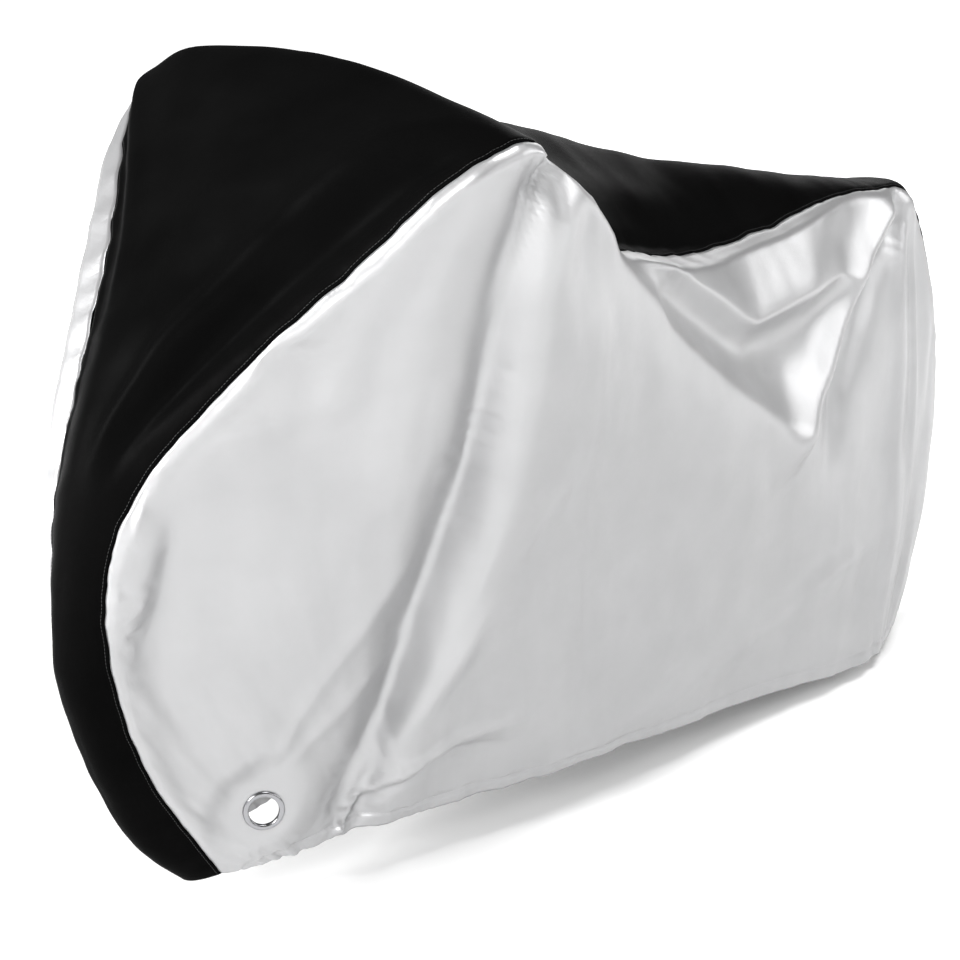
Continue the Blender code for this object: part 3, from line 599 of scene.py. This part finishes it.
def ripples(table, along, across, away):
    """The height of a table of ripples, which fade with the distance away from their edge."""
    height = 0.0
    for ripple in table:
        hills = noise(along / ripple.along, across / ripple.across, ripple.seed)
        fade = np.exp(-away / ripple.reach) if ripple.reach else 1.0
        height = height + ripple.height * hills * fade
    return height


def crumple_height(points):
    """Small crumpled creases in patches of the near panel."""
    height = 0.0
    for patch in CRUMPLES:
        slant = math.radians(patch.slant)
        x, z = points[..., 0] - patch.x, points[..., 2] - patch.z
        along = z * math.cos(slant) + x * math.sin(slant)
        across = x * math.cos(slant) - z * math.sin(slant)
        fade = np.exp(-((along / patch.along) ** 2) - (across / patch.across) ** 2)
        hills = noise(along / CRUMPLE_ALONG, across / CRUMPLE_ACROSS, CRUMPLE_SEED)
        height = height + patch.height * fade * (1 - 2 * np.abs(hills))
    return height


def side_points(side):
    """A side panel's grid, with its ripples, crumples, tucked seam and hem, flat at its eyelet."""
    row, down = np.broadcast_arrays(grid_rows()[:, None], banded(0.0, SIDE_BANDS)[None, :])
    points = side_plain(row, side, down)
    facing = side * normals(points)
    along, across = run_along(points, 0)[:, :1], run_along(points, 1)
    to_hem = across[:, -1:] - across
    place = along + FAR_SHIFT * (side == FAR)
    height = ripples(EVERYWHERE, place, across, across) * smooth(across / RIPPLE_START)
    height += ripples(SEAM_RIPPLES, place, across, across)
    height += ripples(HEM_RIPPLES, place, across, to_hem)
    height -= TUCK * np.exp(-((across / TUCK_WIDTH) ** 2))
    height -= TUCK * np.exp(-(((to_hem - HEM) / TUCK_WIDTH) ** 2))
    if side == NEAR:
        height += crumple_height(points)
    points = points + facing * height[..., None]
    centre, front = eyelet_place(side)
    off = points - centre
    flat = 1 - smooth((length(off) - FLAT_RADIUS) / FLAT_FADE)
    points = points - front * ((off @ front) * flat)[..., None]
    return points, along, across


def centre_points():
    """The centre panel's grid, from the near seam to the far one."""
    row, share = np.broadcast_arrays(grid_rows()[:, None], banded(0.0, CENTRE_BANDS)[None, :])
    near = half_centre(row, NEAR, 1 - share)
    far = half_centre(row, FAR, 1 - share)[:, ::-1]
    points = np.concatenate([near, far[:, 1:]], axis=1)
    place = np.concatenate([share - 1, (1 - share[:, ::-1])[:, 1:]], axis=1)
    facing = normals(points)
    along, across = run_along(points, 0)[:, :1], run_along(points, 1)
    to_seam = np.minimum(across, across[:, -1:] - across)
    height = crease_height(grid_rows()[:, None], place)
    height += ripples(EVERYWHERE, along, across, across) * smooth(to_seam / RIPPLE_START)
    height += ripples(SEAM_RIPPLES, along, across, to_seam)
    height -= TUCK * np.exp(-((to_seam / TUCK_WIDTH) ** 2))
    return points + facing * height[..., None], along, across


def new_object(name, data):
    """A new object in the scene."""
    made = bpy.data.objects.new(name, data)
    bpy.context.scene.collection.objects.link(made)
    return made


def new_mesh(name, points, faces, material):
    """A piece of the cover, which rides on its one body."""
    mesh = bpy.data.meshes.new(name)
    mesh.from_pydata((points + MOUNT).tolist(), [], faces)
    mesh.materials.append(material)
    mesh.shade_smooth()
    made = new_object(name, mesh)
    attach(made, "root")
    return made


def panel(name, grid, flat, outward, material, hole=None):
    """A sheet of cloth on a grid of points, perhaps with a hole.

    Its UVs are in metres: "cloth" is its place on the flat cloth, and "seam" its place along the
    seam and its distance from it.
    """
    points, along, across = grid
    count, width = points.shape[:2]
    if hole is not None:
        points = drawn_to_circle(points, hole)
    index = np.arange(count * width).reshape(count, width)
    corners = [index[:-1, :-1], index[1:, :-1], index[1:, 1:], index[:-1, 1:]]
    faces = np.stack(corners[::outward], axis=-1).reshape(-1, 4)
    places = points.reshape(-1, 3)
    if hole is not None:
        middle = places[faces].mean(axis=1)
        faces = faces[length(middle - hole) > HOLE_RADIUS]
    made = new_mesh(name, places, faces.tolist(), material)
    corner_of = np.zeros(len(made.data.loops), int)
    made.data.loops.foreach_get("vertex_index", corner_of)
    for layer, (u, v) in (("cloth", flat), ("seam", (along, across))):
        uv = made.data.uv_layers.new(name=layer)
        place = np.stack(np.broadcast_arrays(u, v), axis=-1).reshape(-1, 2)
        uv.data.foreach_set("uv", place[corner_of].ravel())
    solid = made.modifiers.new("Cloth", "SOLIDIFY")
    solid.thickness = CLOTH
    solid.offset = 0
    return made


def drawn_to_circle(points, centre):
    """The grid with its points near an eyelet's hole moved onto the hole's edge."""
    off = points - centre
    away = length(off)
    near = np.abs(away - HOLE_RADIUS) < HOLE_DRAW
    scale = np.where(near, HOLE_RADIUS / np.maximum(away, MM), 1.0)
    return centre + off * scale[..., None]


def line_at(grid, distance, facing):
    """A line for stitches that lies distance metres along each of a panel's rows."""
    points, _, across = grid
    raised = points + facing * THREAD_LIFT
    line = [
        [np.interp(distance[i], across[i], raised[i, :, k]) for k in range(3)]
        for i in range(len(points))
    ]
    return np.array(line)


def place_on(line, run, distance):
    """The place on a line of points, where run is how far along it each one lies."""
    return np.stack([np.interp(distance, run, line[:, k]) for k in range(3)], axis=-1)


def stitch(a, b, first):
    """A stitch's points and faces, from a to b. Its points are numbered from first."""
    way = unit(b - a)
    side = unit(np.cross(way, ASKEW))
    up = np.cross(way, side)
    points = [a]
    for share, thickness in THREAD_RINGS:
        middle = a + (b - a) * share
        for turn in np.arange(THREAD_SIDES) * 2 * math.pi / THREAD_SIDES:
            out = side * math.cos(turn) + up * math.sin(turn)
            points.append(middle + out * thickness * THREAD_RADIUS)
    points.append(b)
    end = first + len(points) - 1
    faces = []
    for i in range(THREAD_SIDES):
        j = (i + 1) % THREAD_SIDES
        faces.append((first, first + 1 + j, first + 1 + i))
        for level in range(len(THREAD_RINGS) - 1):
            low = first + 1 + level * THREAD_SIDES
            high = low + THREAD_SIDES
            faces.append((low + i, low + j, high + j, high + i))
        faces.append((end, end - THREAD_SIDES + i, end - THREAD_SIDES + j))
    return points, faces


def stitches(name, lines, material):
    """Stitches of thread along lines, joined in one mesh."""
    points, faces = [], []
    for line in lines:
        run = np.concatenate([[0], np.cumsum(length(np.diff(line, axis=0)))])
        for start in np.arange(STITCH_GAP, run[-1] - STITCH_PITCH, STITCH_PITCH):
            a = place_on(line, run, start)
            b = place_on(line, run, start + STITCH_PITCH - STITCH_GAP)
            new_points, new_faces = stitch(a, b, len(points))
            points += new_points
            faces += new_faces
    return new_mesh(name, np.array(points), faces, material)


def ring(name, side, material):
    """An eyelet: a barrel through the cloth, with a domed rim on each side of it."""
    centre, front = eyelet_place(side)
    across = unit(np.cross(front, [0.0, 0.0, 1.0]))
    up = np.cross(front, across)
    middle, half = (RING_HOLE + RING_RIM) / 2, (RING_RIM - RING_HOLE) / 2
    profile = []
    for face in (1, -1):
        for turn in np.linspace(0, math.pi, RING_DOME)[::face]:
            height = face * (CLOTH / 2 + RING_HEIGHT * math.sin(turn) ** RING_FILL)
            profile.append((middle - half * math.cos(turn), height))
    points = []
    for turn in np.arange(RING_STEPS) * 2 * math.pi / RING_STEPS:
        out = across * math.cos(turn) + up * math.sin(turn)
        points += [centre + out * radius + front * height for radius, height in profile]
    count = len(profile)
    faces = []
    for step in range(RING_STEPS):
        here, there = step * count, (step + 1) % RING_STEPS * count
        for i in range(count):
            j = (i + 1) % count
            faces.append((here + i, here + j, there + j, there + i))
    return new_mesh(name, np.array(points), faces, material)


def nodes_of(name):
    """A new material, with its node tree and its shader."""
    material = bpy.data.materials.new(name)
    material.use_nodes = True
    tree = material.node_tree
    return material, tree, tree.nodes["Principled BSDF"]


def new_node(tree, kind, **settings):
    """A new node, with its inputs and its own settings by name."""
    node = tree.nodes.new(kind)
    for name, value in settings.items():
        if name in node.inputs:
            node.inputs[name].default_value = value
        else:
            setattr(node, name, value)
    return node


def bumped(tree, shader, texture, bump):
    """A noise texture that bumps a shader's surface, each of the two by its settings."""
    grain = new_node(tree, "ShaderNodeTexNoise", **texture)
    raised = new_node(tree, "ShaderNodeBump", **bump)
    tree.links.new(grain.outputs["Fac"], raised.inputs["Height"])
    tree.links.new(raised.outputs["Normal"], shader.inputs["Normal"])
    return grain


def cloth_material(name, look):
    """Coated polyester: a fine plain weave, small crinkles and a finish that varies a little."""
    material, tree, shader = nodes_of(name)
    link = tree.links.new
    place = new_node(tree, "ShaderNodeUVMap", uv_map="cloth")
    split = new_node(tree, "ShaderNodeSeparateXYZ")
    link(place.outputs["UV"], split.inputs["Vector"])

    threads = []
    for axis in ("X", "Y"):
        turn = new_node(tree, "ShaderNodeMath", operation="MULTIPLY")
        turn.inputs[1].default_value = 2 * math.pi / THREAD_PITCH
        wave = new_node(tree, "ShaderNodeMath", operation="SINE")
        link(split.outputs[axis], turn.inputs[0])
        link(turn.outputs[0], wave.inputs[0])
        threads.append(wave)
    weave = new_node(tree, "ShaderNodeMath", operation="MULTIPLY")
    link(threads[0].outputs[0], weave.inputs[0])
    link(threads[1].outputs[0], weave.inputs[1])

    crinkle = new_node(tree, "ShaderNodeTexNoise", Scale=look.crinkle, Detail=4.0, Roughness=0.55)
    blotch = new_node(tree, "ShaderNodeTexNoise", Scale=look.blotch, Detail=3.0, Roughness=0.5)
    for texture in (crinkle, blotch):
        link(place.outputs["UV"], texture.inputs["Vector"])

    # the small puckers that the stitches draw, across the seam and fading away from it
    seam = new_node(tree, "ShaderNodeUVMap", uv_map="seam")
    pull = new_node(tree, "ShaderNodeMapping")
    pull.inputs["Scale"].default_value = (PUCKERS_ALONG, PUCKERS_ACROSS, 1)
    pucker = new_node(tree, "ShaderNodeTexNoise", Scale=1.0, Detail=2.0)
    reach = new_node(tree, "ShaderNodeSeparateXYZ")
    fade = new_node(tree, "ShaderNodeMapRange", interpolation_type="SMOOTHSTEP")
    for key, value in (("From Max", PUCKER_REACH), ("To Min", 1.0), ("To Max", 0.0)):
        fade.inputs[key].default_value = value
    drawn = new_node(tree, "ShaderNodeMath", operation="MULTIPLY")
    link(seam.outputs["UV"], pull.inputs["Vector"])
    link(pull.outputs["Vector"], pucker.inputs["Vector"])
    link(seam.outputs["UV"], reach.inputs["Vector"])
    link(reach.outputs["Y"], fade.inputs["Value"])
    link(pucker.outputs["Fac"], drawn.inputs[0])
    link(fade.outputs["Result"], drawn.inputs[1])
    gathered = new_node(tree, "ShaderNodeBump", Strength=0.5, Distance=look.pucker)
    link(drawn.outputs[0], gathered.inputs["Height"])

    fine = new_node(tree, "ShaderNodeBump", Strength=look.weave_strength, Distance=THREAD_DEPTH)
    link(gathered.outputs["Normal"], fine.inputs["Normal"])
    link(weave.outputs[0], fine.inputs["Height"])
    coarse = new_node(
        tree, "ShaderNodeBump", Strength=look.crinkle_strength, Distance=CRINKLE_DEPTH
    )
    link(crinkle.outputs["Fac"], coarse.inputs["Height"])
    link(fine.outputs["Normal"], coarse.inputs["Normal"])
    link(coarse.outputs["Normal"], shader.inputs["Normal"])

    shade = new_node(tree, "ShaderNodeMix", data_type="RGBA")
    shade.inputs["A"].default_value = (*look.dark, 1)
    shade.inputs["B"].default_value = (*look.light, 1)
    link(blotch.outputs["Fac"], shade.inputs["Factor"])
    link(shade.outputs["Result"], shader.inputs["Base Color"])
    finish = new_node(tree, "ShaderNodeMapRange")
    finish.inputs["To Min"].default_value = look.roughness - CRINKLE_ROUGHNESS
    finish.inputs["To Max"].default_value = look.roughness + CRINKLE_ROUGHNESS
    link(crinkle.outputs["Fac"], finish.inputs["Value"])
    link(finish.outputs["Result"], shader.inputs["Roughness"])
    shader.inputs["Metallic"].default_value = look.metallic
    shader.inputs["Specular IOR Level"].default_value = look.specular
    shader.inputs["Sheen Weight"].default_value = look.sheen
    shader.inputs["Sheen Roughness"].default_value = 0.5
    return material


def thread_material(name, colour):
    """Sewing thread, with its twist."""
    material, tree, shader = nodes_of(name)
    bumped(tree, shader, {"Scale": 1800.0, "Detail": 2.0}, {"Strength": 0.4, "Distance": 0.1 * MM})
    shader.inputs["Base Color"].default_value = (*colour, 1)
    shader.inputs["Roughness"].default_value = 0.6
    return material


def metal_material(name):
    """Nickel plate, lightly scuffed."""
    material, tree, shader = nodes_of(name)
    scuff = bumped(
        tree,
        shader,
        {"Scale": 260.0, "Detail": 5.0, "Roughness": 0.6},
        {"Strength": 0.15, "Distance": 0.1 * MM},
    )
    finish = new_node(tree, "ShaderNodeMapRange")
    finish.inputs["To Min"].default_value, finish.inputs["To Max"].default_value = NICKEL_ROUGHNESS
    tree.links.new(scuff.outputs["Fac"], finish.inputs["Value"])
    tree.links.new(finish.outputs["Result"], shader.inputs["Roughness"])
    shader.inputs["Base Color"].default_value = (*NICKEL, 1)
    shader.inputs["Metallic"].default_value = 1.0
    return material


def floor_material():
    """A matt white floor, which glows more and more away from the cover."""
    material, tree, shader = nodes_of("floor")
    bumped(tree, shader, {"Scale": 40.0, "Detail": 3.0}, {"Strength": 0.02})
    shader.inputs["Base Color"].default_value = (*FLOOR_COLOUR, 1)
    shader.inputs["Roughness"].default_value = 0.9
    shader.inputs["Specular IOR Level"].default_value = 0.1
    shader.inputs["Emission Color"].default_value = (1, 1, 1, 1)
    place = new_node(tree, "ShaderNodeNewGeometry")
    away = new_node(tree, "ShaderNodeVectorMath", operation="DISTANCE")
    away.inputs[1].default_value = (LIGHT_AIM[0], LIGHT_AIM[1], FLOOR_HEIGHT)
    fade = new_node(tree, "ShaderNodeMapRange", interpolation_type="SMOOTHSTEP")
    ends = ("From Min", "From Max", "To Min", "To Max")
    for name, value in zip(ends, FLOOR_REACHES + FLOOR_GLOWS):
        fade.inputs[name].default_value = value
    tree.links.new(place.outputs["Position"], away.inputs[0])
    tree.links.new(away.outputs["Value"], fade.inputs["Value"])
    tree.links.new(fade.outputs["Result"], shader.inputs["Emission Strength"])
    return material


def add_floor():
    """One wide square under the cover."""
    mesh = bpy.data.meshes.new("floor")
    signs = ((-1, -1), (1, -1), (1, 1), (-1, 1))
    corners = [(x * FLOOR_REACH, y * FLOOR_REACH, FLOOR_HEIGHT) for x, y in signs]
    mesh.from_pydata(corners, [], [(0, 1, 2, 3)])
    mesh.materials.append(floor_material())
    new_object("floor", mesh)


def add_lights():
    """The softboxes, which face the cover, and the pale sky."""
    for light in LIGHTS:
        lamp = bpy.data.lights.new(light.name, "AREA")
        lamp.shape = "RECTANGLE"
        lamp.size, lamp.size_y = light.width, light.height
        lamp.energy = light.power
        made = new_object(light.name, lamp)
        made.location = (light.x, light.y, light.z)
        aim = Vector(LIGHT_AIM) - made.location
        made.rotation_euler = aim.to_track_quat("-Z", "Y").to_euler()
    world = bpy.data.worlds.new("studio")
    world.use_nodes = True
    background = world.node_tree.nodes["Background"]
    background.inputs["Color"].default_value = (*WORLD_COLOUR, 1)
    background.inputs["Strength"].default_value = WORLD_STRENGTH
    bpy.context.scene.world = world


def add_camera():
    """The camera, at the photograph's place and with its view."""
    lens = bpy.data.cameras.new("camera")
    lens.sensor_width = SENSOR
    lens.lens = FOCAL_PIXELS * SENSOR / FRAME
    lens.shift_x = (FRAME / 2 - CENTRE_U) / FRAME
    lens.shift_y = (CENTRE_V - FRAME / 2) / FRAME
    camera = new_object("camera", lens)
    camera.location = CAMERA
    yaw, pitch = math.radians(CAMERA_YAW), math.radians(CAMERA_PITCH)
    forward = (math.sin(yaw) * math.cos(pitch), math.cos(yaw) * math.cos(pitch), -math.sin(pitch))
    camera.rotation_euler = Vector(forward).to_track_quat("-Z", "Y").to_euler()
    bpy.context.scene.camera = camera


def add_centre(material, thread):
    """The centre panel, sewn along both its seams."""
    grid = centre_points()
    points, along, across = grid
    cloth = panel("black_panel", grid, (along, across), 1, material)
    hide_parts("centre_panel")
    facing = normals(points)
    width = across[:, -1]
    near = line_at(grid, np.full(len(width), SEAM_STITCH), facing)
    far = line_at(grid, width - SEAM_STITCH, facing)
    sewn = stitches("seam_stitching", [near, far], thread)


def add_side(side, hand, material, thread, metal):
    """A side panel, with its eyelet and the stitches along its hem."""
    grid = side_points(side)
    points, _, across = grid
    hole, _ = eyelet_place(side)
    flat = (points[..., 0], points[..., 2])
    cloth = panel(f"silver_panel_{hand}", grid, flat, -side, material, hole)
    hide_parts(f"side_panel_{hand}", f"eyelet_strip_{hand}")
    rim = ring(f"lock_eyelet_{hand}", side, metal)
    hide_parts(f"eyelet_{hand}")
    hem = line_at(grid, across[:, -1] - HEM, side * normals(points))
    sewn = stitches(f"hem_stitching_{hand}", [hem], thread)


def main():
    """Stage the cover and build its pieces."""
    bpy.context.scene.view_settings.view_transform = "Standard"
    add_camera()
    add_lights()
    add_floor()
    silver = cloth_material("silver_coated_polyester", SILVER)
    black = cloth_material("black_coated_polyester", BLACK)
    grey_thread = thread_material("grey_thread", GREY_THREAD)
    black_thread = thread_material("black_thread", BLACK_THREAD)
    nickel = metal_material("nickel_plate")
    add_centre(black, black_thread)
    add_side(NEAR, "left", silver, grey_thread, nickel)
    add_side(FAR, "right", silver, grey_thread, nickel)


main()
